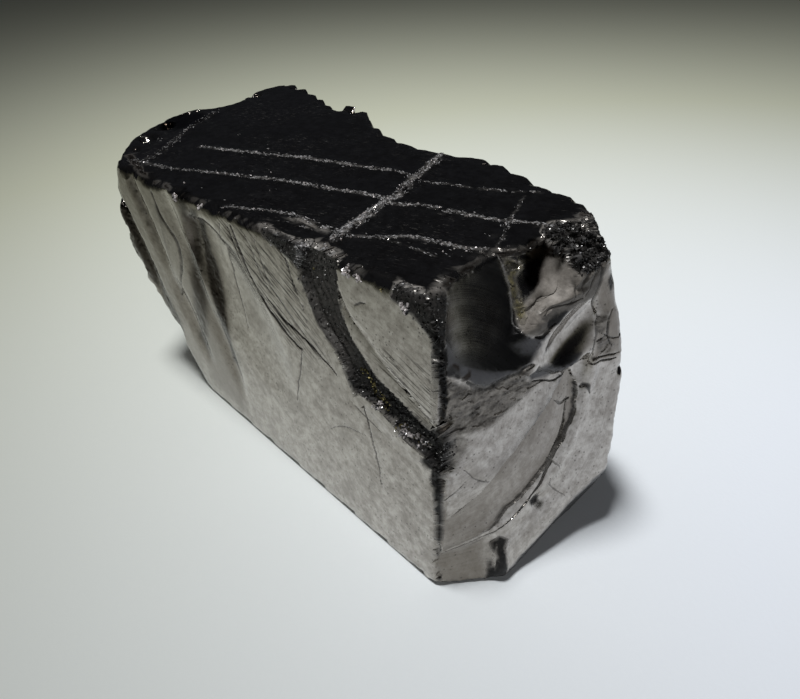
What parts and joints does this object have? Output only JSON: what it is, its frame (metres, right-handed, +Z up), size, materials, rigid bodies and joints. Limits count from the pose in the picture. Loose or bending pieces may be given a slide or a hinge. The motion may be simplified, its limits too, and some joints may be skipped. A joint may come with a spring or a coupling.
{
  "type": "shungite stone",
  "caption": "Hand-sized block of glassy black shungite with flat and shell-like breaks, raised mineral veins on top and a flat base it rests on.",
  "frame": {"origin": "on the ground under the middle of the stone's box", "axes": "+Z up from the flat underside; +X along the stone's length towards the end face with the hollow; the long bright side face looks along -Y"},
  "size_m": [0.078, 0.035, 0.0429],
  "materials": {
    "shungite": "glassy, nearly mirror-bright fresh breaks in black carbon rock, with dull crushed joints and pale mineral veins"
  },
  "bodies": {
    "root": {"shungite": "shungite"}
  },
  "joints": []
}
